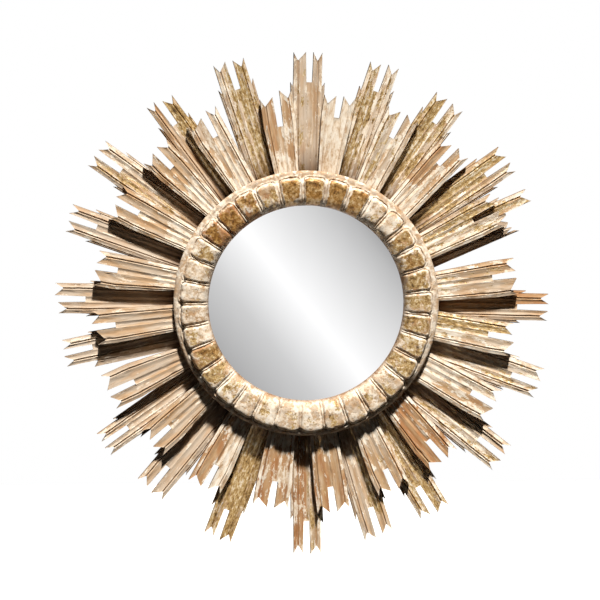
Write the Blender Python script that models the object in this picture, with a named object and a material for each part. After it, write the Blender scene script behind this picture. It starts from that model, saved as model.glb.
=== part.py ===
"""A carved sunburst wall mirror.

A round mirror glass sits in a carved ring of rounded lobes. Behind the ring two layers of carved boards
spread like sun rays: short ones in front, long ones behind them. Everything is fixed to a round backing board.

Metres, +Z up. The mirror hangs with its front facing -Y. The origin is the centre of the backing's rear face,
which lies against the wall in the plane Y = 0. Bearings are degrees clockwise from the top, seen from the front.
"""

import math

import bmesh
import bpy
from mathutils import Matrix

# Clearance that touching pieces keep
gap = 0.0003

# Ring
ring_sight_radius = 0.175
ring_width = 0.0625
ring_wall_height = 0.0105
ring_rim_height = 0.0165
ring_rim_fall = 0.0008
ring_height = 0.0290
ring_lip_thickness = 0.0030
lobe_crevice_depth = 0.0045
lobe_end_recess = 0.0045
lobe_growth_at_bottom = 0.0055

# Glass, and how far the ring's lip covers its edge
glass_thickness = 0.003
glass_cover = 0.006

# Backing board, and how far it stays inside the ring's outline
backing_thickness = 0.012
backing_inset = 0.024
backing_edge_bevel = 0.002
disc_sides = 64

# Ray boards, both layers
ray_thickness = 0.0160
ray_start_inset = 0.008
ray_joint = 0.0008
slot_half_width = 0.0051
slot_half_width_at_tip = 0.0066
groove_place = 0.0085
groove_half_width = 0.0018
groove_depth = 0.0028
flute_hollow = 0.0020
edge_drop = 0.0018
notch_depth = 0.0155
outer_tip_setback = 0.0010

# One step of the unevenness that each board was cut and nailed with by hand
hand_step = 0.001

# Long rays, the rear layer, from their inner ends to their tips
long_ray_length = 0.281
long_half_width = 0.0270
long_slot_length = 0.051
side_strip_width = 0.0050
side_strip_crest = 0.0018
side_strip_setback = 0.047
side_strip_slant = 0.009
side_strip_drop = 0.0030

# Short rays, the front layer
short_ray_length = 0.215
short_half_width = 0.0300
short_base_half_width = 0.0180
short_slot_length = 0.046

# Each long ray as it was measured by eye: bearing, then in hand steps its extra length, what its left and right
# fork add to that, its extra half-width left and right, and the extra length of its side strips left and right
long_rays = [
    (1.0, -2, 3, 3, 2, -4, -4, -4),
    (18.5, 2, -2, 2, -1, -1, -3, 8),
    (35.8, 0, -2, -3, 2, 2, 8, 1),
    (55.0, 0, -1, -1, 2, -2, 1, 3),
    (66.8, -2, 1, 0, 3, 3, -3, 8),
    (91.5, -13, 7, 6, -2, -3, 12, 3),
    (109.6, 0, 4, 4, 3, -1, 1, -7),
    (128.3, 4, 6, 7, -1, 3, 5, -5),
    (148.7, -3, 9, 5, 4, -1, 2, 1),
    (162.4, -5, 3, 7, -1, 1, -7, 10),
    (179.7, 1, 10, 9, -1, -3, 3, -7),
    (200.7, 5, 6, 3, 0, -3, -5, -3),
    (219.9, -10, 5, 2, 3, 1, -12, -5),
    (234.9, -6, 5, 3, -4, -4, -11, 10),
    (258.3, -6, 2, 1, -2, -4, 0, -1),
    (271.0, -2, -2, 4, -1, 1, -5, -12),
    (290.0, 1, 0, 4, -1, -3, 7, 8),
    (305.7, 9, 4, 4, 0, 0, -8, 8),
    (323.8, -2, 5, -3, -4, 0, 10, 0),
    (342.4, 4, 3, 1, 2, 0, 5, 7),
]

# Each short ray in the same way: bearing, then in hand steps its extra length, what its left and right fork add,
# its extra slot length, its extra half-width left and right, and the same at its inner end
short_rays = [
    (9.4, -5, -3, -1, -5, -2, -2, -8, -2),
    (27.4, -1, 1, 2, 2, 0, 0, -5, 5),
    (43.8, 6, -3, 2, -1, -2, 1, -4, 10),
    (63.7, 3, 0, 0, 4, -2, 5, -3, 8),
    (82.5, 1, 0, 0, -2, 0, 6, 2, 6),
    (100.0, -5, 1, 6, -3, -3, 3, 8, 6),
    (118.6, 5, 2, 3, 1, -1, 6, 9, 6),
    (138.6, -4, 4, 2, -1, -1, 3, 9, -4),
    (154.5, -8, 4, 2, -6, -1, 2, 1, -5),
    (172.4, -2, 3, 3, -2, 0, 0, 4, 2),
    (189.8, -11, 4, 5, -2, 1, 3, -4, 5),
    (208.8, 0, -3, 0, 2, 0, 2, -7, 6),
    (227.8, -6, 1, -3, 0, 0, -1, -6, 3),
    (245.4, 7, 0, 0, 5, 0, 5, -7, -4),
    (263.6, -1, -2, 4, -8, 2, -1, 0, 3),
    (280.0, 1, -1, -2, -5, 4, -1, -8, 2),
    (298.4, 5, -3, 2, 2, 2, 0, -4, 3),
    (315.4, 5, -4, -1, 1, 1, -1, -8, -6),
    (331.5, 6, -8, 0, 4, 6, -4, -8, 8),
    (351.8, 0, -9, 1, 17, 0, -1, -1, -4),
]

# The long ray whose right-hand fork has broken off, and how deep the break bites below the slot's bottom
broken_ray = 5
broken_fork_bite = 0.014

# The long ray whose left-hand side strip is wider, and by how much
wide_strip_ray = 15
wide_strip_extra = 0.006

# Bearings of the middles of the carved lobes
lobe_bearings = [
    3.8, 15.2, 26.2, 36.5, 47.0, 56.5, 67.5, 78.5, 90.0, 100.5, 111.5,
    122.5, 134.0, 145.0, 155.5, 166.5, 177.5, 189.0, 200.0, 211.0, 221.5, 232.0,
    243.0, 254.0, 265.0, 275.5, 286.5, 297.5, 307.5, 318.5, 329.5, 340.5, 352.0,
]

# Across one lobe, from the crease before it: (share of the lobe, share of the crevice's depth and of the recess)
lobe_section = [(0.00, 1.00), (0.10, 0.28), (0.32, 0.04), (0.68, 0.04), (0.90, 0.28)]

# What follows from the sizes above, across the mirror
ring_outer_radius = ring_sight_radius + ring_width
glass_radius = ring_sight_radius + glass_cover
rabbet_radius = glass_radius + gap
backing_radius = ring_outer_radius - backing_inset
ray_start = ring_sight_radius - ray_start_inset
long_reach = ray_start + long_ray_length
short_reach = ray_start + short_ray_length

# And from the wall outwards
long_layer_back = backing_thickness + gap
short_layer_back = long_layer_back + ray_thickness + gap
ring_back = short_layer_back + ray_thickness + gap
glass_back = ring_back + gap
rabbet_depth = gap + glass_thickness + gap

# How far a fork stops short of the board's reach, from the slot out: a swallow-tail, notched at its groove
fork_setbacks = [0.0, notch_depth * 0.45, notch_depth * 0.86, notch_depth, notch_depth * 0.86, outer_tip_setback]

# Colours
bare_wood = (0.62, 0.45, 0.30)
worn_gold = (0.58, 0.41, 0.20)
gesso_white = (0.80, 0.72, 0.62)
dark_wood = (0.20, 0.13, 0.08)
mirror_silver = (0.90, 0.91, 0.92)


def clear_scene():
    for item in list(bpy.data.objects):
        bpy.data.objects.remove(item, do_unlink=True)


def make_material(name, colour, roughness, metallic):
    material = bpy.data.materials.new(name)
    material.use_nodes = True
    shader = material.node_tree.nodes["Principled BSDF"]
    shader.inputs["Base Color"].default_value = (*colour, 1.0)
    shader.inputs["Roughness"].default_value = roughness
    shader.inputs["Metallic"].default_value = metallic
    return material


def add_object(name, bm, material, collection):
    """Turn a bmesh into a named object, with its faces pointing out."""
    bmesh.ops.recalc_face_normals(bm, faces=bm.faces)
    mesh = bpy.data.meshes.new(name)
    bm.to_mesh(mesh)
    bm.free()
    mesh.materials.append(material)
    item = bpy.data.objects.new(name, mesh)
    collection.objects.link(item)
    return item


def side_room(bearings, index, side, radius):
    """Half-width free for a board at this radius before it meets its neighbour on that side."""
    neighbour = bearings[(index + side) % len(bearings)]
    between = (side * (neighbour - bearings[index])) % 360.0
    return radius * math.tan(math.radians(between / 2)) - ray_joint / 2


def fork_stations(half_width):
    """Across one fork, from the slot out: (distance from the board's middle, depth below the crests).

    There is one station for each of the fork's setbacks.
    """
    groove = half_width - groove_place
    inner_crest = groove - groove_half_width
    return [
        (slot_half_width, flute_hollow * 0.4),
        ((slot_half_width + inner_crest) / 2, flute_hollow),
        (inner_crest, 0.0),
        (groove, groove_depth),
        (groove + groove_half_width, 0.0),
        (half_width, edge_drop),
    ]


def strip_stations(half_width, strip_width):
    """Across the side strip beside a long ray's fork, in the same terms."""
    return [
        (half_width + side_strip_crest / 2, side_strip_drop + groove_depth / 2),
        (half_width + side_strip_crest, side_strip_drop),
        (half_width + strip_width, side_strip_drop + edge_drop),
    ]


def board_columns(halves, strip_widths):
    """Columns of points across a board, left to right: (side, station, distance from the middle, depth)."""
    columns = [(0, -1, 0.0, groove_depth)]
    for side in (-1, 1):
        stations = fork_stations(halves[side])
        if strip_widths:
            stations += strip_stations(halves[side], strip_widths[side])
        for station, (across, below) in enumerate(stations):
            columns.append((side, station, across, below))
    return sorted(columns, key=lambda column: column[0] * column[2])


def board_mesh(rooms, halves, bases, reach, forks, slot_length, strip_lengths, strip_widths, broken_side):
    """One carved board, pointing up +Z with its back in the plane Y = 0.

    It starts as a sheet of three rows of points: at the inner end, at the slot's bottom and at the tips. The
    forks keep their cells above the slot's bottom, the slot and the side strips lose theirs, and the sheet is
    then thickened down to a flat back. rooms gives the half-width free on a side at a radius, bases the
    half-widths at the inner end, and forks what each fork adds to the board's reach.
    """
    columns = board_columns(halves, strip_widths)
    bm = bmesh.new()
    bmesh.ops.create_grid(bm, x_segments=len(columns) - 1, y_segments=2, size=1.0)
    bm.verts.ensure_lookup_table()

    for number, (side, station, across, below) in enumerate(columns):
        in_strip = station >= len(fork_setbacks)
        outer = columns[-1][2] if side > 0 else columns[0][2]
        base_share = bases[side] / halves[side] if side else 1.0

        shoulder = reach - slot_length
        if in_strip:
            slanted = (across - halves[side] - strip_widths[side]) / strip_widths[side] * side_strip_slant
            shoulder = reach - side_strip_setback + strip_lengths[side] + slanted
        elif side and side == broken_side:
            shoulder -= broken_fork_bite * (0.5 + 0.5 * math.cos(2.4 * station))

        tip = reach
        tip_across = across
        if side and not in_strip:
            tip += forks[side] - fork_setbacks[station]
        if side and station < 2:
            flare = slot_half_width_at_tip - slot_half_width
            tip_across += flare if station == 0 else flare / 2

        rows = ((ray_start, across * base_share), (shoulder, across), (tip, tip_across))
        for row, (radius, distance) in enumerate(rows):
            if side:
                distance *= min(1.0, rooms(side, radius) / (outer if row else outer * base_share))
            vert = bm.verts[row * len(columns) + number]
            vert.co = (side * distance, below - ray_thickness, radius)

    cut_away = []
    for face in bm.faces:
        corner = min(vert.index for vert in face.verts)
        row = corner // len(columns)
        pair = (columns[corner % len(columns)], columns[corner % len(columns) + 1])
        side = pair[0][0] or pair[1][0]
        station = max(pair[0][1], pair[1][1])
        in_fork = 0 < station < len(fork_setbacks)
        if row == 1 and (side == broken_side or not in_fork):
            cut_away.append(face)
    bmesh.ops.delete(bm, geom=cut_away, context="FACES")

    grown = bmesh.ops.extrude_face_region(bm, geom=bm.faces[:])
    for part in grown["geom"]:
        if isinstance(part, bmesh.types.BMVert):
            part.co.y = 0.0
    bmesh.ops.dissolve_limit(bm, angle_limit=0.002, verts=bm.verts, edges=bm.edges)
    return bm


def build_long_rays(collection, material):
    bearings = [ray[0] for ray in long_rays]
    for index, (bearing, longer, fork_left, fork_right, left, right, strip_left, strip_right) in enumerate(long_rays):
        halves = {-1: long_half_width + left * hand_step, 1: long_half_width + right * hand_step}
        bm = board_mesh(
            rooms=lambda side, radius: side_room(bearings, index, side, radius),
            halves=halves,
            bases=halves,
            reach=long_reach + longer * hand_step,
            forks={-1: fork_left * hand_step, 1: fork_right * hand_step},
            slot_length=long_slot_length,
            strip_lengths={-1: strip_left * hand_step, 1: strip_right * hand_step},
            strip_widths={-1: side_strip_width + (wide_strip_extra if index + 1 == wide_strip_ray else 0.0),
                          1: side_strip_width},
            broken_side=1 if index + 1 == broken_ray else None)
        ray = add_object(f"long_ray_{index + 1:02d}", bm, material, collection)
        ray.location = (0.0, -long_layer_back, 0.0)
        ray.rotation_euler = (0.0, math.radians(bearing), 0.0)


def build_short_rays(collection, material):
    bearings = [ray[0] for ray in short_rays]
    for index, (bearing, longer, fork_left, fork_right, deeper, left, right, base_left, base_right) in enumerate(
            short_rays):
        bm = board_mesh(
            rooms=lambda side, radius: side_room(bearings, index, side, radius),
            halves={-1: short_half_width + left * hand_step, 1: short_half_width + right * hand_step},
            bases={-1: short_base_half_width + base_left * hand_step,
                   1: short_base_half_width + base_right * hand_step},
            reach=short_reach + longer * hand_step,
            forks={-1: fork_left * hand_step, 1: fork_right * hand_step},
            slot_length=short_slot_length + deeper * hand_step,
            strip_lengths=None,
            strip_widths=None,
            broken_side=None)
        ray = add_object(f"short_ray_{index + 1:02d}", bm, material, collection)
        ray.location = (0.0, -short_layer_back, 0.0)
        ray.rotation_euler = (0.0, math.radians(bearing), 0.0)


def ring_profile():
    """The ring's section around its loop: (radius, height above its back, share of the crevices, of the recess)."""
    lip_front = rabbet_depth + ring_lip_thickness
    inner_rise = ring_height - lip_front
    outer_rise = ring_height - ring_rim_height

    def at(share, height, crevice, recess):
        return ring_sight_radius + share * ring_width, height, crevice, recess

    return [
        (rabbet_radius, 0.0, 0.0, 0.0),
        (rabbet_radius, rabbet_depth, 0.0, 0.0),
        at(0.00, rabbet_depth, 0.0, 0.0),
        at(0.00, lip_front, 0.0, 0.0),
        at(0.05, lip_front + 0.60 * inner_rise, 0.5, 0.0),
        at(0.20, lip_front + 0.94 * inner_rise, 1.0, 0.0),
        at(0.44, ring_height, 1.0, 0.0),
        at(0.66, ring_rim_height + 0.93 * outer_rise, 1.0, 0.3),
        at(0.77, ring_rim_height + 0.58 * outer_rise, 0.6, 1.0),
        at(0.81, ring_rim_height, 0.0, 1.0),
        at(0.91, ring_rim_height - ring_rim_fall, 0.0, 0.0),
        at(1.00, ring_wall_height, 0.0, 0.0),
        at(1.00, 0.0, 0.0, 0.0),
    ]


def lobe_creases():
    """Bearings of the creases between lobes, the one before each lobe, in order, and the first again at the end."""
    creases = []
    for index, middle in enumerate(lobe_bearings):
        before = lobe_bearings[index - 1]
        if before > middle:
            before -= 360.0
        creases.append((before + middle) / 2)
    return creases + [creases[0] + 360.0]


def build_ring(collection, material):
    """Spin the section round the mirror's axis, then press the creases between the lobes into its front."""
    profile = ring_profile()
    steps = len(lobe_section) * len(lobe_bearings)
    bm = bmesh.new()
    loop = [bm.verts.new((0.0, -height, radius)) for radius, height, crevice, recess in profile]
    for index, vert in enumerate(loop):
        bm.edges.new((vert, loop[(index + 1) % len(loop)]))
    bmesh.ops.spin(
        bm, geom=bm.verts[:] + bm.edges[:], angle=2 * math.pi, steps=steps,
        axis=(0.0, 1.0, 0.0), cent=(0.0, 0.0, 0.0), use_merge=True, use_duplicate=False)

    creases = lobe_creases()
    for vert in bm.verts:
        distance = math.hypot(vert.co.x, vert.co.z)
        radius, height, crevice, recess = min(
            profile, key=lambda point: math.hypot(point[0] - distance, point[1] + vert.co.y))
        step = round(math.atan2(vert.co.x, vert.co.z) / (2 * math.pi) * steps) % steps
        lobe = step // len(lobe_section)
        along, depth = lobe_section[step % len(lobe_section)]
        bearing = math.radians(creases[lobe] + (creases[lobe + 1] - creases[lobe]) * along)
        height -= lobe_crevice_depth * crevice * depth
        radius -= lobe_end_recess * recess * depth
        radius += lobe_growth_at_bottom * recess * max(0.0, -math.cos(bearing))
        vert.co = (radius * math.sin(bearing), -height, radius * math.cos(bearing))

    ring = add_object("ring", bm, material, collection)
    ring.location = (0.0, -ring_back, 0.0)
    ring.data.shade_smooth()
    ring.data.set_sharp_from_angle(angle=math.radians(40))


def build_disc(name, radius, thickness, back, bevel, collection, material):
    """A round flat plate, facing the wall, with its rear face this far in front of the wall."""
    bm = bmesh.new()
    bmesh.ops.create_cone(
        bm, cap_ends=True, segments=disc_sides, radius1=radius, radius2=radius, depth=thickness)
    bmesh.ops.rotate(bm, verts=bm.verts, cent=(0.0, 0.0, 0.0), matrix=Matrix.Rotation(math.radians(90), 3, "X"))
    bmesh.ops.translate(bm, verts=bm.verts, vec=(0.0, -thickness / 2, 0.0))
    if bevel:
        front = [edge for edge in bm.edges if all(abs(vert.co.y + thickness) < 1e-6 for vert in edge.verts)]
        bmesh.ops.bevel(bm, geom=front, offset=bevel, segments=1, affect="EDGES", profile=0.5, material=-1)
    plate = add_object(name, bm, material, collection)
    plate.location = (0.0, -back, 0.0)
    plate.data.shade_smooth()
    plate.data.set_sharp_from_angle(angle=math.radians(30))


def main():
    clear_scene()
    collection = bpy.data.collections.new("sunburst_mirror")
    bpy.context.scene.collection.children.link(collection)
    long_wood = make_material("long_ray_wood", bare_wood, 0.75, 0.0)
    short_wood = make_material("short_ray_wood", gesso_white, 0.70, 0.0)
    ring_wood = make_material("ring_gilt_wood", worn_gold, 0.60, 0.0)
    back_wood = make_material("backing_wood", dark_wood, 0.85, 0.0)
    silvering = make_material("mirror_glass", mirror_silver, 0.03, 1.0)
    build_disc("backing", backing_radius, backing_thickness, 0.0, backing_edge_bevel, collection, back_wood)
    build_long_rays(collection, long_wood)
    build_short_rays(collection, short_wood)
    build_ring(collection, ring_wood)
    build_disc("glass", glass_radius, glass_thickness, glass_back, 0.0, collection, silvering)


main()
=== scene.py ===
import bisect
import math

import bmesh
import bpy
from mathutils import Matrix, Vector, noise


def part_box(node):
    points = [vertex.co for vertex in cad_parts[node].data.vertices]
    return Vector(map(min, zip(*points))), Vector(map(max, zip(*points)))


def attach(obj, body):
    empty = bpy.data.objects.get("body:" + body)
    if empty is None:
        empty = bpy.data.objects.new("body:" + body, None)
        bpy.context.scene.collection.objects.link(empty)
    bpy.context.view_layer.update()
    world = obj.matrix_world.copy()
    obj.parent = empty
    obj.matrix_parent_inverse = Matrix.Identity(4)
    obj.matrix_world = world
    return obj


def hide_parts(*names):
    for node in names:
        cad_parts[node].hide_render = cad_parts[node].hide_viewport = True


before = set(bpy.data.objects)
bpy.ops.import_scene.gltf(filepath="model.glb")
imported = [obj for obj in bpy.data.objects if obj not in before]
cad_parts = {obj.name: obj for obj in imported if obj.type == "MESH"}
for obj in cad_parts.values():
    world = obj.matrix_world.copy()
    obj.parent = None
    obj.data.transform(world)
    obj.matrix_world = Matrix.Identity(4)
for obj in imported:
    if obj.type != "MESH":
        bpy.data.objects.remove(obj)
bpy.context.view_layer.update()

# Camera
# A long lens a little above the mirror's middle and to its left, level with a mirror that hangs on a wall.
view_azimuth = math.radians(-3.0)
view_elevation = math.radians(4.0)
view_distance = 4.0
metres_per_pixel = 0.0018
photo_width = 600
front_layer_depth = 0.028
shift_right = 4.8
shift_up = 1.4

to_camera = Vector((
    math.sin(view_azimuth) * math.cos(view_elevation),
    -math.cos(view_azimuth) * math.cos(view_elevation),
    math.sin(view_elevation)))
turn = (-to_camera).to_track_quat("-Z", "Y")
camera_data = bpy.data.cameras.new("camera")
camera_data.sensor_width = 36.0
camera_data.lens = 36.0 * (view_distance - front_layer_depth) / (photo_width * metres_per_pixel)
camera = bpy.data.objects.new("camera", camera_data)
camera.rotation_mode = "QUATERNION"
camera.rotation_quaternion = turn
camera.location = (
    to_camera * view_distance
    - turn @ Vector((1, 0, 0)) * shift_right * metres_per_pixel
    + turn @ Vector((0, 1, 0)) * shift_up * metres_per_pixel)
bpy.context.scene.collection.objects.link(camera)
bpy.context.scene.camera = camera


# Studio
# A white surround and a pale floor, one lamp high in front, a weak one behind for the views of the rear, and
# a lit card that the glass mirrors.
def add_node(tree, kind, **settings):
    """A shader node, with its sockets and properties set by name."""
    node = tree.nodes.new(kind)
    for name, value in settings.items():
        if name in node.inputs:
            node.inputs[name].default_value = value
        else:
            setattr(node, name, value)
    return node


def ramp_stops(node, stops):
    """Set a colour ramp's stops, from (place, colour) pairs, where a colour may be one grey value."""
    ramp = node.color_ramp
    while len(ramp.elements) < len(stops):
        ramp.elements.new(1.0)
    for element, (place, colour) in zip(ramp.elements, stops):
        element.position = place
        element.color = (*colour, 1.0) if isinstance(colour, tuple) else (colour, colour, colour, 1.0)


bpy.context.scene.view_settings.view_transform = "Standard"
surround_white = 1.0
surround_in_mirror = 0.62
surround_in_gloss = 0.15
surround_fill = 0.010

world = bpy.data.worlds.new("studio")
world.use_nodes = True
bpy.context.scene.world = world
world_tree = world.node_tree
world_tree.nodes.clear()
rays = add_node(world_tree, "ShaderNodeLightPath")
background = add_node(world_tree, "ShaderNodeBackground", Color=(1.0, 1.0, 1.0, 1.0))
world_output = add_node(world_tree, "ShaderNodeOutputWorld")
seen_strength = surround_fill
for kind, strength in (
        ("Is Glossy Ray", surround_in_gloss),
        ("Is Singular Ray", surround_in_mirror),
        ("Is Camera Ray", surround_white)):
    chosen = add_node(world_tree, "ShaderNodeMix", data_type="FLOAT")
    chosen.inputs["B"].default_value = strength
    world_tree.links.new(rays.outputs[kind], chosen.inputs["Factor"])
    if kind == "Is Glossy Ray":
        chosen.inputs["A"].default_value = surround_fill
    else:
        world_tree.links.new(seen_strength, chosen.inputs["A"])
    seen_strength = chosen.outputs["Result"]
world_tree.links.new(seen_strength, background.inputs["Strength"])
world_tree.links.new(background.outputs["Background"], world_output.inputs["Surface"])

lamp_direction = Vector((0.10, -0.52, 0.86))
lamp_strength = 8.2
rear_strength = 2.0
lamp_data = bpy.data.lights.new("lamp", "SUN")
lamp_data.energy = lamp_strength
lamp_data.angle = math.radians(5.0)
lamp_data.color = (1.0, 0.985, 0.96)
lamp = bpy.data.objects.new("lamp", lamp_data)
lamp.rotation_mode = "QUATERNION"
lamp.rotation_quaternion = lamp_direction.to_track_quat("Z", "Y")
bpy.context.scene.collection.objects.link(lamp)

rear_data = bpy.data.lights.new("rear_lamp", "SUN")
rear_data.energy = rear_strength
rear_data.angle = math.radians(2.0)
rear_lamp = bpy.data.objects.new("rear_lamp", rear_data)
rear_lamp.rotation_mode = "QUATERNION"
rear_lamp.rotation_quaternion = Vector((0.0, 1.0, 0.0)).to_track_quat("Z", "Y")
bpy.context.scene.collection.objects.link(rear_lamp)

floor_drop = 0.95
floor_size = 8.0
floor_mesh = bpy.data.meshes.new("floor")
bm = bmesh.new()
floor_place = Matrix.Translation((0, 0, -floor_drop))
bmesh.ops.create_grid(bm, x_segments=1, y_segments=1, size=floor_size / 2, matrix=floor_place)
bm.to_mesh(floor_mesh)
bm.free()
floor = bpy.data.objects.new("floor", floor_mesh)
floor_paint = bpy.data.materials.new("floor")
floor_paint.use_nodes = True
floor_shader = floor_paint.node_tree.nodes["Principled BSDF"]
floor_shader.inputs["Base Color"].default_value = (0.82, 0.81, 0.79, 1.0)
floor_shader.inputs["Roughness"].default_value = 0.9
floor_mesh.materials.append(floor_paint)
floor.visible_diffuse = False
bpy.context.scene.collection.objects.link(floor)

# The card is twice the glass's size, because it stands as far in front of the glass as the camera does.
card_distance = 4.3
card_spread = 1.0 + card_distance / -camera.location.y
card_half_size = 0.50
glass_reach = 0.180
card_mesh = bpy.data.meshes.new("card")
bm = bmesh.new()
upright = Matrix.Rotation(math.radians(90), 4, "X")
bmesh.ops.create_grid(bm, x_segments=1, y_segments=1, size=card_half_size, matrix=upright)
bm.to_mesh(card_mesh)
bm.free()
card = bpy.data.objects.new("card", card_mesh)
card.location = (
    -camera.location.x * (card_spread - 1.0),
    -card_distance,
    -camera.location.z * (card_spread - 1.0))
card_glow = bpy.data.materials.new("card")
card_glow.use_nodes = True
card_tree = card_glow.node_tree
card_tree.nodes.clear()
place = add_node(card_tree, "ShaderNodeTexCoord")
across_band = add_node(card_tree, "ShaderNodeVectorMath", operation="DOT_PRODUCT")
across_band.inputs[1].default_value = (0.777, 0.0, 0.629)
band_place = add_node(card_tree, "ShaderNodeMapRange")
band_place.inputs["From Min"].default_value = -glass_reach * card_spread
band_place.inputs["From Max"].default_value = glass_reach * card_spread
band = add_node(card_tree, "ShaderNodeValToRGB")
ramp_stops(band, [
    (0.0, 0.41), (0.24, 0.63), (0.45, 0.97), (0.49, 1.04),
    (0.54, 0.97), (0.83, 0.64), (0.93, 0.51), (1.0, 0.38)])
glow = add_node(card_tree, "ShaderNodeEmission", Strength=1.10)
card_output = add_node(card_tree, "ShaderNodeOutputMaterial")
card_tree.links.new(place.outputs["Object"], across_band.inputs[0])
card_tree.links.new(across_band.outputs["Value"], band_place.inputs["Value"])
card_tree.links.new(band_place.outputs["Result"], band.inputs["Fac"])
card_tree.links.new(band.outputs["Color"], glow.inputs["Color"])
card_tree.links.new(glow.outputs["Emission"], card_output.inputs["Surface"])
card_mesh.materials.append(card_glow)
card.visible_camera = False
card.visible_diffuse = False
bpy.context.scene.collection.objects.link(card)


# Long ray boards
# Boards of soft wood, grooved with a plane, sawn into forks, and nailed like spokes to the backing. Their
# white ground and gold leaf have worn off in patches, down to the bare wood.
def add_group(name, inputs, outputs):
    """A node group with these sockets, its nodes to be filled in."""
    group = bpy.data.node_groups.new(name, "ShaderNodeTree")
    for socket, kind, value in inputs:
        made = group.interface.new_socket(socket, in_out="INPUT", socket_type=kind)
        if value is not None:
            made.default_value = value
    for socket, kind in outputs:
        group.interface.new_socket(socket, in_out="OUTPUT", socket_type=kind)
    return group, group.nodes.new("NodeGroupInput"), group.nodes.new("NodeGroupOutput")


def scaled_noise(tree, vector, scale, detail=4.0, roughness=0.6, distortion=0.0, seed=0.0):
    """Noise on a stretched copy of a vector, about 0.5 at its middle."""
    mapping = add_node(tree, "ShaderNodeMapping", Scale=scale, Location=(seed, seed * 0.7, seed * 1.3))
    texture = add_node(
        tree, "ShaderNodeTexNoise", Scale=1.0, Detail=detail, Roughness=roughness, Distortion=distortion)
    tree.links.new(vector, mapping.inputs["Vector"])
    tree.links.new(mapping.outputs["Vector"], texture.inputs["Vector"])
    return texture.outputs["Fac"]


def between(tree, value, low, high, to_low=0.0, to_high=1.0):
    """Map a value from one range to another, smoothly and clamped."""
    node = add_node(tree, "ShaderNodeMapRange", interpolation_type="SMOOTHSTEP")
    node.inputs["From Min"].default_value = low
    node.inputs["From Max"].default_value = high
    node.inputs["To Min"].default_value = to_low
    node.inputs["To Max"].default_value = to_high
    tree.links.new(value, node.inputs["Value"])
    return node.outputs["Result"]


def combine(tree, operation, first, second):
    """Add, multiply or otherwise combine two values, either of which may be a plain number."""
    node = add_node(tree, "ShaderNodeMath", operation=operation)
    for socket, value in zip(node.inputs, (first, second)):
        if isinstance(value, (int, float)):
            socket.default_value = value
        else:
            tree.links.new(value, socket)
    return node.outputs["Value"]


def mix_colours(tree, factor, first, second, blend="MIX"):
    """Mix two colours, either of which may be a plain colour."""
    node = add_node(tree, "ShaderNodeMix", data_type="RGBA", blend_type=blend)
    if isinstance(factor, (int, float)):
        node.inputs["Factor"].default_value = factor
    else:
        tree.links.new(factor, node.inputs["Factor"])
    for name, value in (("A", first), ("B", second)):
        socket = [item for item in node.inputs if item.name == name and item.type == "RGBA"][0]
        if isinstance(value, tuple):
            socket.default_value = (*value, 1.0)
        else:
            tree.links.new(value, socket)
    return [item for item in node.outputs if item.type == "RGBA"][0]


def colour_steps(tree, value, stops):
    """A colour ramp over a value."""
    node = add_node(tree, "ShaderNodeValToRGB")
    ramp_stops(node, stops)
    tree.links.new(value, node.inputs["Fac"])
    return node.outputs["Color"]


def make_wood_grain():
    """Bare wood with its grain along the vector's Y, and chalk left in its pores."""
    group, given, out = add_group(
        "wood_grain",
        [("Vector", "NodeSocketVector", None), ("Warmth", "NodeSocketFloat", 0.5)],
        [("Color", "NodeSocketColor"), ("Height", "NodeSocketFloat")])
    vector = given.outputs["Vector"]
    blotches = scaled_noise(group, vector, (70.0, 16.0, 70.0), detail=3.0)
    streaks = scaled_noise(
        group, vector, (300.0, 13.0, 300.0), detail=5.0, roughness=0.65, distortion=0.4, seed=3.0)
    pores = scaled_noise(
        group, vector, (420.0, 34.0, 420.0), detail=5.0, roughness=0.7, distortion=0.3, seed=7.0)
    warm = combine(group, "ADD", given.outputs["Warmth"], between(group, blotches, 0.3, 0.7, -0.25, 0.25))
    clean = colour_steps(group, warm, [
        (0.0, (0.51, 0.42, 0.325)), (0.35, (0.485, 0.37, 0.262)), (0.65, (0.425, 0.265, 0.135)),
        (1.0, (0.33, 0.15, 0.055))])
    cool = between(group, warm, 0.50, 0.85, 1.0, 0.15)
    pink = combine(group, "MULTIPLY", cool, between(group, blotches, 0.50, 0.68, 0.0, 0.40))
    rosy = mix_colours(group, pink, clean, (0.51, 0.34, 0.225))
    dark = between(group, streaks, 0.50, 0.68, 0.0, 0.42)
    streaked = mix_colours(group, dark, rosy, (0.17, 0.095, 0.05))
    chalk = between(group, pores, 0.54, 0.67, 0.0, 0.36)
    chalky = mix_colours(group, chalk, streaked, (0.64, 0.52, 0.39))
    group.links.new(chalky, out.inputs["Color"])
    height = combine(group, "SUBTRACT", combine(group, "MULTIPLY", chalk, 0.4), dark)
    group.links.new(height, out.inputs["Height"])
    return group


def make_worn_patches():
    """Where a worn layer is left: a mask with crumbled edges that covers about the given share."""
    group, given, out = add_group(
        "worn_patches",
        [("Vector", "NodeSocketVector", None), ("Share", "NodeSocketFloat", 0.5),
         ("Scale", "NodeSocketFloat", 60.0)],
        [("Mask", "NodeSocketFloat")])
    scaled = add_node(group, "ShaderNodeVectorMath", operation="SCALE")
    group.links.new(given.outputs["Vector"], scaled.inputs[0])
    group.links.new(given.outputs["Scale"], scaled.inputs["Scale"])
    islands = scaled_noise(group, scaled.outputs["Vector"], (1.0, 0.28, 1.0), detail=2.5, roughness=0.6)
    crumbs = scaled_noise(
        group, scaled.outputs["Vector"], (4.6, 1.9, 4.6), detail=3.0, roughness=0.65, seed=5.0)
    ragged = combine(group, "ADD", islands, combine(group, "MULTIPLY", crumbs, 0.55))
    lifted = combine(group, "ADD", ragged, combine(group, "MULTIPLY", given.outputs["Share"], 0.62))
    mask = between(group, lifted, 1.04, 1.12)
    some = between(group, given.outputs["Share"], 0.0, 0.06)
    group.links.new(combine(group, "MULTIPLY", mask, some), out.inputs["Mask"])
    return group


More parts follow.
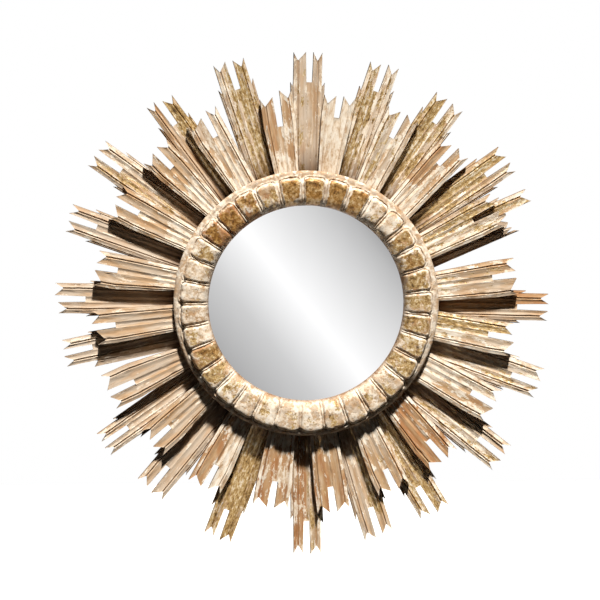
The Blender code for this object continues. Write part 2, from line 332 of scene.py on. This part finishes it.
def make_white_ground():
    """Old chalk ground: warm white, rubbed and stained along the board."""
    group, given, out = add_group(
        "white_ground",
        [("Vector", "NodeSocketVector", None)],
        [("Color", "NodeSocketColor"), ("Height", "NodeSocketFloat")])
    stains = scaled_noise(
        group, given.outputs["Vector"], (190.0, 60.0, 190.0), detail=5.0, roughness=0.7, seed=11.0)
    colour = colour_steps(group, stains, [
        (0.36, (0.73, 0.655, 0.55)), (0.50, (0.66, 0.55, 0.42)), (0.60, (0.50, 0.355, 0.225)),
        (0.72, (0.27, 0.16, 0.08))])
    group.links.new(colour, out.inputs["Color"])
    group.links.new(combine(group, "MULTIPLY", stains, -1.6), out.inputs["Height"])
    return group


def make_gold_leaf():
    """Dull old gold leaf, mottled from cream through ochre to dark brown."""
    group, given, out = add_group(
        "gold_leaf",
        [("Vector", "NodeSocketVector", None)],
        [("Color", "NodeSocketColor"), ("Height", "NodeSocketFloat")])
    vector = given.outputs["Vector"]
    mottle = scaled_noise(group, vector, (330.0, 130.0, 330.0), detail=4.0, roughness=0.72, seed=17.0)
    tone = scaled_noise(group, vector, (80.0, 28.0, 80.0), detail=3.0, seed=23.0)
    strokes = scaled_noise(group, vector, (260.0, 11.0, 260.0), detail=4.0, roughness=0.65, seed=29.0)
    shade = combine(group, "ADD", mottle, between(group, tone, 0.3, 0.7, -0.06, 0.06))
    shade = combine(group, "ADD", shade, between(group, strokes, 0.3, 0.7, -0.07, 0.07))
    colour = colour_steps(group, shade, [
        (0.36, (0.70, 0.60, 0.45)), (0.43, (0.53, 0.385, 0.20)), (0.51, (0.40, 0.26, 0.10)),
        (0.59, (0.28, 0.165, 0.06)), (0.69, (0.10, 0.06, 0.027))])
    group.links.new(colour, out.inputs["Color"])
    group.links.new(combine(group, "MULTIPLY", mottle, -2.2), out.inputs["Height"])
    return group


wood_grain = make_wood_grain()
worn_patches = make_worn_patches()
white_ground = make_white_ground()
gold_leaf = make_gold_leaf()


def place_group(tree, group, **sockets):
    """Place a node group, linking or setting its inputs by name."""
    node = add_node(tree, "ShaderNodeGroup", node_tree=group)
    for name, value in sockets.items():
        if isinstance(value, (int, float)):
            node.inputs[name].default_value = value
        else:
            tree.links.new(value, node.inputs[name])
    return node


def make_aged_gilding(name, pattern, patch_scale, layer_scale):
    """Wood under a worn white ground under worn gold leaf. The mesh's finish attribute says how much is left.

    Its red is the share of gold, its green the share of white, its blue how warm the wood is and how amber
    the gold, and its alpha the darkening: grime, and painted shade in recesses and on the sides.
    """
    material = bpy.data.materials.new(name)
    material.use_nodes = True
    tree = material.node_tree
    shader = tree.nodes["Principled BSDF"]
    if pattern == "UV":
        vector = add_node(tree, "ShaderNodeUVMap", uv_map="board").outputs["UV"]
    else:
        vector = add_node(tree, "ShaderNodeTexCoord").outputs["Object"]
    finish = add_node(tree, "ShaderNodeAttribute", attribute_name="finish")
    shares = add_node(tree, "ShaderNodeSeparateColor")
    tree.links.new(finish.outputs["Color"], shares.inputs["Color"])

    wood = place_group(tree, wood_grain, Vector=vector, Warmth=shares.outputs["Blue"])
    layer_place = add_node(tree, "ShaderNodeVectorMath", operation="SCALE", Scale=layer_scale)
    tree.links.new(vector, layer_place.inputs[0])
    white = place_group(tree, white_ground, Vector=layer_place.outputs["Vector"])
    gold = place_group(tree, gold_leaf, Vector=layer_place.outputs["Vector"])
    shifted = add_node(tree, "ShaderNodeVectorMath", operation="ADD")
    shifted.inputs[1].default_value = (4.3, 7.1, 2.9)
    tree.links.new(vector, shifted.inputs[0])
    white_left = place_group(
        tree, worn_patches, Vector=vector, Share=shares.outputs["Green"], Scale=patch_scale).outputs["Mask"]
    gold_left = place_group(
        tree, worn_patches, Vector=shifted.outputs["Vector"], Share=shares.outputs["Red"],
        Scale=patch_scale * 1.3).outputs["Mask"]

    primed = mix_colours(tree, white_left, wood.outputs["Color"], white.outputs["Color"])
    tarnish = between(tree, shares.outputs["Blue"], 0.60, 1.0)
    amber = mix_colours(tree, tarnish, gold.outputs["Color"], (0.78, 0.57, 0.30), blend="MULTIPLY")
    gilded = mix_colours(tree, gold_left, primed, amber)
    # The alpha multiplies in a dark brown: grime, and painted shade in the grooves, on the sides and near the
    # ring.
    grimy_and_shaded = mix_colours(tree, finish.outputs["Alpha"], gilded, (0.20, 0.115, 0.06), blend="MULTIPLY")
    tree.links.new(grimy_and_shaded, shader.inputs["Base Color"])

    metal = between(tree, gold_left, 0.2, 1.0, 0.0, 0.30)
    tree.links.new(metal, shader.inputs["Metallic"])
    tree.links.new(between(tree, gold_left, 0.0, 1.0, 0.78, 0.42), shader.inputs["Roughness"])
    shader.inputs["Specular IOR Level"].default_value = 0.22

    white_thickness = combine(tree, "MULTIPLY", white_left, 1.6)
    gold_thickness = combine(tree, "MULTIPLY", gold_left, 0.5)
    layers = combine(tree, "ADD", white_thickness, gold_thickness)
    relief = combine(tree, "ADD", layers, wood.outputs["Height"])
    relief = combine(tree, "ADD", relief, combine(tree, "MULTIPLY", white_left, white.outputs["Height"]))
    relief = combine(tree, "ADD", relief, combine(tree, "MULTIPLY", gold_left, gold.outputs["Height"]))
    bump = add_node(tree, "ShaderNodeBump", Strength=0.6, Distance=0.0005)
    tree.links.new(relief, bump.inputs["Height"])
    tree.links.new(bump.outputs["Normal"], shader.inputs["Normal"])
    return material


ray_wood = make_aged_gilding("aged_ray_wood", "UV", 90.0, 0.85)

weld_distance = 0.00002
slice_step = 0.004
crest_angle = 0.35
groove_angle = 2.0
crest_rounding = 0.0004
flat_back = 0.9
narrowest_flank = 0.0025
flute_hollow = 0.66
grain_wear = 0.00018
lump_wear = 0.00016
crest_wear = 0.0003
chip_wear = 0.0024
least_chip = 0.25
fork_blend = 0.004
white_reach = 0.060
crest_white_and_highlight = 0.22
crest_gold_loss = 0.30
valley_dirt_and_shade = 0.24
end_grime = 0.50
end_grime_reach = 0.006
side_and_back_shade = 0.8
base_dirt_and_shade_reach = 0.045
ring_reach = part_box("ring")[1].x


def faces_front(face):
    return face.normal.y < -0.35


def runs_along(edge):
    span = edge.verts[1].co - edge.verts[0].co
    return abs(span.z) > 0.9 * span.length


def board_blank(node):
    """A welded copy of a solid board, turned to point up +Z, and the bearing of its square inner end."""
    bm = bmesh.new()
    bm.from_mesh(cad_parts[node].data)
    bmesh.ops.remove_doubles(bm, verts=bm.verts, dist=weld_distance)
    bmesh.ops.dissolve_limit(bm, angle_limit=math.radians(0.3), verts=bm.verts, edges=bm.edges)
    bm.normal_update()

    def faces_outwards(face):
        middle = face.calc_center_median()
        return face.normal.dot(Vector((middle.x, 0.0, middle.z)).normalized())

    inner_end = min(bm.faces, key=faces_outwards)
    bearing = math.atan2(-inner_end.normal.x, -inner_end.normal.z)
    bmesh.ops.rotate(bm, verts=bm.verts, cent=(0, 0, 0), matrix=Matrix.Rotation(-bearing, 3, "Y"))
    return bm, bearing


def plane_board(bm):
    """Ease the crests, slice the board across so that it can wear, and hollow the flutes between the slices.

    How near each point is to a crest or a valley is kept for the wear and the finish.
    """
    crest = bm.verts.layers.float.new("crest")
    valley = bm.verts.layers.float.new("valley")
    lengthwise = [edge for edge in bm.edges if len(edge.link_faces) == 2 and runs_along(edge)]
    for edge in lengthwise:
        if all(faces_front(face) for face in edge.link_faces):
            depth = min(1.0, -edge.calc_face_angle_signed() / groove_angle)
            for vert in edge.verts:
                vert[valley] = max(vert[valley], depth)
    crests = [
        edge for edge in lengthwise
        if any(faces_front(face) for face in edge.link_faces) and edge.calc_face_angle_signed() > crest_angle]
    eased = bmesh.ops.bevel(
        bm, geom=crests, offset=crest_rounding, offset_type="OFFSET", segments=2, affect="EDGES",
        profile=0.5, material=-1, clamp_overlap=True)
    for face in eased["faces"]:
        for vert in face.verts:
            vert[crest] = 1.0

    low = min(vert.co.z for vert in bm.verts)
    high = max(vert.co.z for vert in bm.verts)
    for number in range(1, round((high - low) / slice_step)):
        plane = low + number * slice_step
        above = [
            face for face in bm.faces
            if face.normal.y < flat_back and max(vert.co.z for vert in face.verts) > plane]
        edges = list({edge for face in above for edge in face.edges})
        verts = list({vert for face in above for vert in face.verts})
        bmesh.ops.bisect_plane(
            bm, geom=verts + edges + above, dist=weld_distance / 2,
            plane_co=(0, 0, plane), plane_no=(0, 0, 1))

    bm.normal_update()
    across = [
        edge for edge in bm.edges
        if not runs_along(edge) and edge.calc_length() > narrowest_flank
        and all(faces_front(face) for face in edge.link_faces)]
    made = bmesh.ops.subdivide_edges(bm, edges=across, cuts=2, use_grid_fill=True)
    hollows = {}
    for vert in made["geom_inner"]:
        if isinstance(vert, bmesh.types.BMVert):
            drops = [
                abs(edge.verts[0].co.y - edge.verts[1].co.y)
                for edge in vert.link_edges if not runs_along(edge)]
            hollows[vert] = flute_hollow * max(drops, default=0.0)
    for vert, hollow in hollows.items():
        vert.co.y += hollow


def wear_board(bm, number):
    """Rub the crests and the edges down and chip them, the same way each run."""
    crest = bm.verts.layers.float["crest"]
    back = max(vert.co.y for vert in bm.verts)
    bm.normal_update()
    seed = Vector((number * 3.7, number * 1.9, 0.0))
    for vert in bm.verts:
        if back - vert.co.y < weld_distance:
            continue
        x, y, z = vert.co
        grain = noise.noise(Vector((x * 300, y * 300, z * 30)) + seed)
        lumps = noise.noise(Vector((x * 120, y * 120, z * 80)) + seed * 2)
        chips = noise.noise(Vector((x * 70, y * 70, z * 60)) + seed * 3)
        wear = grain_wear * (1.0 + grain) + lump_wear * (1.0 + lumps)
        wear += vert[crest] ** 3 * (crest_wear + chip_wear * max(0.0, chips - least_chip))
        vert.co -= vert.normal * wear


def finish_board(bm, number, shares, base_dirt_and_shade):
    """Write each point's shares of gold and white, warmth, grime and painted shade, and the board's own UV
    map.
    """
    gold_left, gold_right, white_left, white_right, white_base, warm_left, warm_right = [
        share / 9.0 for share in shares]
    finish = bm.verts.layers.float_color.new("finish")
    crest = bm.verts.layers.float["crest"]
    valley = bm.verts.layers.float["valley"]
    uv = bm.loops.layers.uv.new("board")
    front = min(vert.co.y for vert in bm.verts)
    back = max(vert.co.y for vert in bm.verts)
    reach = max(vert.co.z for vert in bm.verts)
    for vert in bm.verts:
        x, y, z = vert.co
        right = min(1.0, max(0.0, 0.5 + x / fork_blend))
        shown = min(1.0, max(0.0, (back - y) / (back - front) * 1.6 - 0.3))
        near_ring = max(0.0, 1.0 - (z - ring_reach) / (white_reach * (0.35 + white_base)))
        gold = gold_left + (gold_right - gold_left) * right
        white = white_left + (white_right - white_left) * right
        white = max(white, white_base * min(1.0, 1.5 * near_ring))
        # Crests get extra white: partly white ground left on the arrises, partly a painted highlight on the
        # edges.
        white += crest_white_and_highlight * vert[crest] ** 3
        gold -= crest_gold_loss * vert[crest] ** 3
        warm = warm_left + (warm_right - warm_left) * right
        # Darker in the grooves: partly dirt, partly painted shade where the flutes fall into shade.
        grime_and_shade = valley_dirt_and_shade * vert[valley] ** 2
        # Darker near the ring on the long boards: partly dirt, partly painted shade where the short boards
        # and ring shade them.
        grime_and_shade = max(grime_and_shade, base_dirt_and_shade * (1.0 - (z - ring_reach) / base_dirt_and_shade_reach))
        # The tips' darkening is their own dirt; the sides and back get painted shade, darker the less of the
        # front they are.
        grime_and_shade = max(grime_and_shade, end_grime * (1.0 - (reach - z) / end_grime_reach), side_and_back_shade * (1.0 - shown))
        vert[finish] = (max(0.0, gold) * shown, max(0.0, white) * shown, warm, max(0.0, min(1.0, grime_and_shade)))
    for face in bm.faces:
        for loop in face.loops:
            x, y, z = loop.vert.co
            loop[uv].uv = (x + y + number * 0.31, z + number * 0.83)


def add_piece(name, bm, material, node, smooth_angle):
    """Make a piece from a bmesh and set it in the frame in place of a node."""
    mesh = bpy.data.meshes.new(name)
    bm.to_mesh(mesh)
    bm.free()
    old_normals = mesh.attributes.get("custom_normal")
    if old_normals:
        mesh.attributes.remove(old_normals)
    mesh.materials.clear()
    mesh.materials.append(material)
    for polygon in mesh.polygons:
        polygon.material_index = 0
    mesh.shade_smooth()
    mesh.set_sharp_from_angle(angle=math.radians(smooth_angle))
    piece = bpy.data.objects.new(name, mesh)
    bpy.context.scene.collection.objects.link(piece)
    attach(piece, "root")
    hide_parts(node)
    return piece


def carve_board(node, piece_name, number, shares, base_dirt_and_shade):
    """One worn board in place of its solid."""
    bm, bearing = board_blank(node)
    plane_board(bm)
    wear_board(bm, number)
    finish_board(bm, number, shares, base_dirt_and_shade)
    bmesh.ops.rotate(bm, verts=bm.verts, cent=(0, 0, 0), matrix=Matrix.Rotation(bearing, 3, "Y"))
    add_piece(piece_name, bm, ray_wood, node, 38)


# What is left on each long board, from 0 to 9: gold on the left and right fork, white on the left and right,
# white near the ring, and how warm the bare wood is on the left and right
# The long boards' darkening near the ring is partly dirt and partly painted shade.
long_base_dirt_and_shade = 0.75
long_board_finishes = [
    (3, 2, 2, 2, 2, 3, 4),
    (6, 4, 4, 5, 3, 4, 4),
    (8, 5, 1, 4, 1, 5, 4),
    (7, 5, 1, 3, 1, 5, 4),
    (6, 2, 3, 3, 2, 5, 4),
    (1, 2, 0, 1, 1, 7, 4),
    (3, 4, 4, 4, 2, 2, 3),
    (3, 4, 3, 5, 2, 3, 2),
    (6, 6, 3, 3, 2, 4, 5),
    (5, 1, 1, 3, 1, 4, 4),
    (4, 1, 3, 3, 1, 5, 8),
    (9, 7, 2, 2, 1, 6, 6),
    (1, 1, 2, 2, 2, 3, 4),
    (1, 0, 3, 3, 3, 3, 4),
    (1, 0, 2, 2, 2, 3, 1),
    (0, 0, 1, 1, 2, 3, 3),
    (0, 1, 2, 1, 2, 2, 3),
    (5, 2, 2, 4, 2, 4, 4),
    (2, 9, 1, 1, 1, 5, 4),
    (5, 7, 3, 1, 2, 3, 3),
]
for number, shares in enumerate(long_board_finishes, start=1):
    carve_board(
        f"long_ray_{number:02d}", f"long_board_{number:02d}", number, shares,
        long_base_dirt_and_shade)

# Short ray boards
# The same kind of board, narrower at the ring and without side strips, nailed over the gaps of the long
# ones. Their inner ends get none of the long boards' darkening near the ring, which is dirt and painted
# shade.
short_board_seed = 30
short_base_dirt_and_shade = 0.0
short_board_finishes = [
    (2, 1, 6, 7, 8, 3, 3),
    (5, 3, 4, 4, 5, 4, 4),
    (0, 2, 2, 4, 7, 7, 6),
    (6, 4, 2, 5, 5, 4, 3),
    (3, 2, 2, 2, 6, 5, 4),
    (7, 3, 3, 4, 8, 4, 4),
    (2, 2, 5, 4, 7, 4, 6),
    (1, 0, 3, 1, 4, 8, 8),
    (2, 2, 3, 3, 6, 6, 6),
    (1, 3, 2, 2, 5, 6, 7),
    (0, 0, 4, 3, 6, 7, 8),
    (0, 1, 5, 2, 5, 5, 7),
    (0, 1, 1, 1, 4, 4, 5),
    (0, 0, 1, 1, 1, 4, 3),
    (0, 0, 1, 1, 3, 4, 4),
    (0, 0, 1, 1, 5, 4, 4),
    (0, 0, 2, 2, 7, 5, 5),
    (0, 1, 2, 1, 9, 6, 5),
    (0, 0, 3, 4, 5, 5, 4),
    (1, 1, 2, 4, 6, 6, 6),
]
for number, shares in enumerate(short_board_finishes, start=1):
    carve_board(
        f"short_ray_{number:02d}", f"short_board_{number:02d}", number + short_board_seed, shares,
        short_base_dirt_and_shade)

# Carved ring
# Turned from wood and carved with a row of rounded lobes, each in a thin raised fillet, then coated with
# white ground and gilded. It lies on the short boards and holds the glass in a rabbet.
ring_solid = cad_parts["ring"].data
ring_low, ring_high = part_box("ring")
ring_back = ring_high.y
ring_top = ring_high.y - ring_low.y
ring_sight = min(math.hypot(vert.co.x, vert.co.z) for vert in ring_solid.vertices)
ring_width = ring_reach - ring_sight
ring_rabbet_reach = ring_sight + 0.0063
ring_rabbet_depth = 0.0036
ring_lip = 0.0066
ring_wall = 0.0105
ring_rim = 0.0165
crest_share = 0.44
lobe_end_share = 0.81
lobe_growth_at_bottom = 0.0055
rim_round_share = 0.91
crevice_depth = 0.0042
crease_recess = 0.0040
lobe_corner = 0.0085
lobe_pillow = 0.0050
lobe_end_pillow = 0.0022
fillet_half_width = 0.0020
fillet_rise = 0.0026
incised_width = 0.0009
incised_depth = 0.0016
side_wander = 0.0011
side_shake = 0.0005
end_swell = 0.0022
end_shake = 0.0006
lump_rub = 0.00055
dent_rub = 0.00025
crumb_rub = 0.00030
ring_steps = 1320
front_points = 44


def read_creases():
    """Bearings of the creases between the solid ring's lobes: the low points round its crest."""
    crest_radius = ring_sight + crest_share * ring_width
    heights = {}
    for vert in ring_solid.vertices:
        if abs(math.hypot(vert.co.x, vert.co.z) - crest_radius) < 0.0002:
            bearing = round(math.degrees(math.atan2(vert.co.x, vert.co.z)) % 360.0, 3)
            heights[bearing] = ring_back - vert.co.y
    bearings = sorted(heights)
    creases = []
    for index, bearing in enumerate(bearings):
        before = heights[bearings[index - 1]]
        after = heights[bearings[(index + 1) % len(bearings)]]
        if heights[bearing] < before - 0.001 and heights[bearing] < after - 0.001:
            creases.append(bearing)
    return creases


creases = read_creases()
lobe_count = len(creases)

# What is left on each lobe, clockwise from the one right of the top, from 0 to 9: gold, white, brown dirt
lobe_finishes = [
    (9, 7, 4), (9, 7, 4), (4, 8, 1), (3, 7, 0), (7, 6, 3), (6, 6, 3), (6, 5, 2), (6, 5, 1),
    (6, 6, 2), (6, 6, 1), (6, 6, 1), (4, 6, 0), (4, 6, 0), (3, 6, 0), (4, 6, 0), (4, 7, 0),
    (3, 6, 0), (3, 6, 0), (4, 7, 0), (5, 7, 0), (5, 6, 1), (6, 4, 3), (3, 8, 0), (3, 7, 1),
    (3, 7, 0), (3, 8, 0), (5, 8, 2), (6, 4, 5), (6, 4, 5), (5, 5, 4), (4, 6, 2), (8, 7, 4),
    (9, 7, 4),
]


def lobe_top(share, end_share):
    """Height of a lobe's middle line above the ring's back, from the sight edge outwards."""
    if share < crest_share:
        rise = max(0.0, 1.0 - (1.0 - share / crest_share) ** 3.4) ** 0.62
        return ring_lip + (ring_top - ring_lip) * rise
    fall = min(1.0, (share - crest_share) / (end_share - crest_share))
    return ring_rim + (ring_top - ring_rim) * max(0.0, 1.0 - fall ** 8) ** 0.5


def rim_height(share):
    """Height of the plain rim outside the lobes."""
    along = max(0.0, (share - rim_round_share) / (1.0 - rim_round_share))
    return ring_wall + (ring_rim - ring_wall) * math.sqrt(max(0.0, 1.0 - along * along))


def lobe_place(bearing):
    """The lobe that a bearing falls in, and how far along it, from 0 to 1."""
    index = bisect.bisect_right(creases, bearing % 360.0) - 1
    start = creases[index]
    end = creases[(index + 1) % lobe_count]
    along = ((bearing - start) % 360.0) / ((end - start) % 360.0)
    return index % lobe_count, along, math.radians((end - start) % 360.0)


def ring_relief(radius, bearing):
    """Height of the carved front above the ring's back, with the lobe, the distance inside its outline and
    the share of the ring's width.
    """
    share = (radius - ring_sight) / ring_width
    lobe, along, pitch = lobe_place(bearing)
    angle = math.radians(bearing)
    place = Vector((radius * math.sin(angle), 0.0, radius * math.cos(angle)))
    wander = noise.noise(place * 70 + Vector((0, 5, 0)))
    shake = noise.noise(place * 190 + Vector((0, 9, 0)))
    swell = noise.noise(place * 45 + Vector((0, 13, 0)))
    across = (along - 0.5) * pitch * radius
    half = pitch * radius / 2 - fillet_half_width + side_wander * wander + side_shake * shake
    end = ring_sight + lobe_end_share * ring_width + end_swell * swell + end_shake * shake
    end += lobe_growth_at_bottom * max(0.0, -math.cos(angle))
    end_share = (end - ring_sight) / ring_width
    beside = abs(across) - half + lobe_corner
    beyond = radius - end + lobe_corner
    if beside > 0.0 and beyond > 0.0:
        outside = math.hypot(beside, beyond) - lobe_corner
    else:
        outside = max(beside, beyond) - lobe_corner

    recess = crease_recess * min(1.0, max(0.0, (share - 0.45) / 0.35))
    crevice = crevice_depth * min(1.0, share / 0.15)
    rim = min(ring_rim, rim_height(share))
    ground = max(lobe_top(share + recess / ring_width, end_share) - crevice, rim)
    if share < 0.3:
        ground = max(ring_lip, lobe_top(share, end_share) - crevice)
    if outside < 0.0:
        near_end = min(1.0, max(0.0, (share - end_share) / 0.15 + 1.0))
        pillow_reach = lobe_pillow + (lobe_end_pillow - lobe_pillow) * near_end
        pillow = 1.0 - (1.0 - min(1.0, -outside / pillow_reach)) ** 2.2
        height = ground + (max(ground, lobe_top(share, end_share)) - ground) * pillow
    else:
        bump = max(0.0, 1.0 - ((outside - fillet_half_width) / fillet_half_width) ** 2)
        height = ground + fillet_rise * (0.8 + 0.7 * swell) * bump * min(1.0, share / 0.10)
    cut = math.exp(-(outside / incised_width) ** 2) * min(1.0, share / 0.10)
    cut *= max(0.15, 0.85 + 0.9 * wander) * (1.0 - 0.5 * max(0.0, min(1.0, (share - 0.5) / 0.3)))
    return height - incised_depth * cut, lobe, -outside, share


def carve_ring():
    """Spin a fine section round the mirror's axis and carve the lobes, fillets and wear into its front."""
    section = [
        (ring_rabbet_reach, 0.0), (ring_rabbet_reach, ring_rabbet_depth), (ring_sight, ring_rabbet_depth)]
    for point in range(front_points + 1):
        radius = ring_sight + ring_width * point / front_points
        section.append((radius, ring_lip))
    section += [(ring_reach, ring_wall * 0.5), (ring_reach, 0.0)]
    bm = bmesh.new()
    loop = [bm.verts.new((0.0, ring_back - height, radius)) for radius, height in section]
    for index, vert in enumerate(loop):
        bm.edges.new((vert, loop[(index + 1) % len(loop)]))
    bmesh.ops.spin(
        bm, geom=bm.verts[:] + bm.edges[:], angle=2 * math.pi, steps=ring_steps,
        axis=(0.0, 1.0, 0.0), cent=(0.0, 0.0, 0.0), use_merge=True, use_duplicate=False)
    bmesh.ops.recalc_face_normals(bm, faces=bm.faces)

    finish = bm.verts.layers.float_color.new("finish")
    for vert in bm.verts:
        radius = math.hypot(vert.co.x, vert.co.z)
        on_front = abs(ring_back - vert.co.y - ring_lip) < weld_distance
        if not on_front:
            vert[finish] = (0.0, 0.1, 0.5, 0.5)
            continue
        bearing = math.degrees(math.atan2(vert.co.x, vert.co.z))
        height, lobe, inside, share = ring_relief(radius, bearing)
        gold, white, brown = [value / 9.0 for value in lobe_finishes[lobe]]
        place = Vector((vert.co.x, lobe * 0.7, vert.co.z))
        lumps = noise.noise(place * 90)
        crumbs = noise.fractal(place * 330, 0.6, 2.0, 3)
        dents = noise.noise(place * 160)
        worn = lump_rub * (1.0 + lumps) + dent_rub * (1.0 + dents) + crumb_rub * max(0.0, crumbs + 0.3)
        vert.co.y = ring_back - (height - worn * min(1.0, share / 0.08))
        patch = max(0.0, min(1.0, (inside - 0.0015) / 0.004)) * (1.0 - abs(share - 0.50) * 0.5)
        crest = max(0.0, 1.0 - abs(inside + fillet_half_width) / fillet_half_width)
        hollow = max(0.0, 1.0 - abs(inside) / (1.6 * incised_width))
        blotched = brown * max(0.0, min(1.0, 0.75 + 1.3 * lumps))
        stain_and_shade = 0.5 * blotched * min(1.0, max(0.0, inside / 0.003 - 0.4))
        # Painted shade: the inner band next to the sight edge is darkened all round, on top of the lobes'
        # real stains.
        stain_and_shade = max(stain_and_shade, 0.30 * (1.0 - share / 0.28))
        if share > lobe_end_share and inside < 0.0:
            white = 0.48 + 0.55 * lumps
            gold = 0.30 + 0.3 * dents
            stain_and_shade = max(0.0, 0.12 + 0.35 * dents)
        vert[finish] = (
            gold * (0.10 + 0.90 * patch),
            # The fillets' crests get extra white: partly white ground, partly a painted highlight.
            max(0.0, min(1.0, white * (1.0 - 0.35 * patch) + 0.4 * crest)),
            0.45 + 0.20 * lumps + 0.9 * brown * (inside > 0.0),
            # The alpha darkens the incised lines with dirt and painted shade, and the lip by the glass with a
            # painted shadow line.
            min(1.0, max(stain_and_shade, 0.40 * hollow * (0.7 + 0.6 * dents)) + 0.5 * max(0.0, 1.0 - share / 0.06)))
    return bm


ring_wood = make_aged_gilding("aged_ring_wood", "Object", 38.0, 0.5)
add_piece("carved_ring", carve_ring(), ring_wood, "ring", 60)

# Mirror glass
# A plain disc of silvered glass behind the ring's lip. It keeps its solid, with a mirror finish that has
# faint streaks from cleaning.
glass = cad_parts["glass"]
glass_finish = bpy.data.materials.new("silvered_glass")
glass_finish.use_nodes = True
glass_tree = glass_finish.node_tree
glass_shader = glass_tree.nodes["Principled BSDF"]
glass_shader.inputs["Metallic"].default_value = 1.0
glass_place = add_node(glass_tree, "ShaderNodeTexCoord").outputs["Object"]
haze = scaled_noise(glass_tree, glass_place, (14.0, 14.0, 6.0), detail=2.0)
dim_silver = (0.895, 0.895, 0.90)
bright_silver = (0.91, 0.91, 0.915)
silver = mix_colours(glass_tree, between(glass_tree, haze, 0.3, 0.7), dim_silver, bright_silver)
glass_tree.links.new(silver, glass_shader.inputs["Base Color"])
glass_shader.inputs["Roughness"].default_value = 0.0
glass.data.materials.clear()
glass.data.materials.append(glass_finish)

# Backing board
# A round board of dark wood behind the rays, which everything is nailed to. It keeps its solid, and its
# grain runs upright.
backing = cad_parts["backing"]
backing_wood = bpy.data.materials.new("backing_wood")
backing_wood.use_nodes = True
backing_tree = backing_wood.node_tree
backing_shader = backing_tree.nodes["Principled BSDF"]
backing_turn = add_node(backing_tree, "ShaderNodeMapping", Rotation=(math.radians(90), 0.0, 0.0))
backing_place = add_node(backing_tree, "ShaderNodeTexCoord")
backing_tree.links.new(backing_place.outputs["Object"], backing_turn.inputs["Vector"])
backing_grain = place_group(backing_tree, wood_grain, Vector=backing_turn.outputs["Vector"], Warmth=0.6)
dark_stain = (0.42, 0.34, 0.28)
backing_colour = mix_colours(backing_tree, 1.0, backing_grain.outputs["Color"], dark_stain, blend="MULTIPLY")
backing_tree.links.new(backing_colour, backing_shader.inputs["Base Color"])
backing_shader.inputs["Roughness"].default_value = 0.85
backing_shader.inputs["Specular IOR Level"].default_value = 0.25
backing_bump = add_node(backing_tree, "ShaderNodeBump", Strength=0.5, Distance=0.0004)
backing_tree.links.new(backing_grain.outputs["Height"], backing_bump.inputs["Height"])
backing_tree.links.new(backing_bump.outputs["Normal"], backing_shader.inputs["Normal"])
backing.data.materials.clear()
backing.data.materials.append(backing_wood)
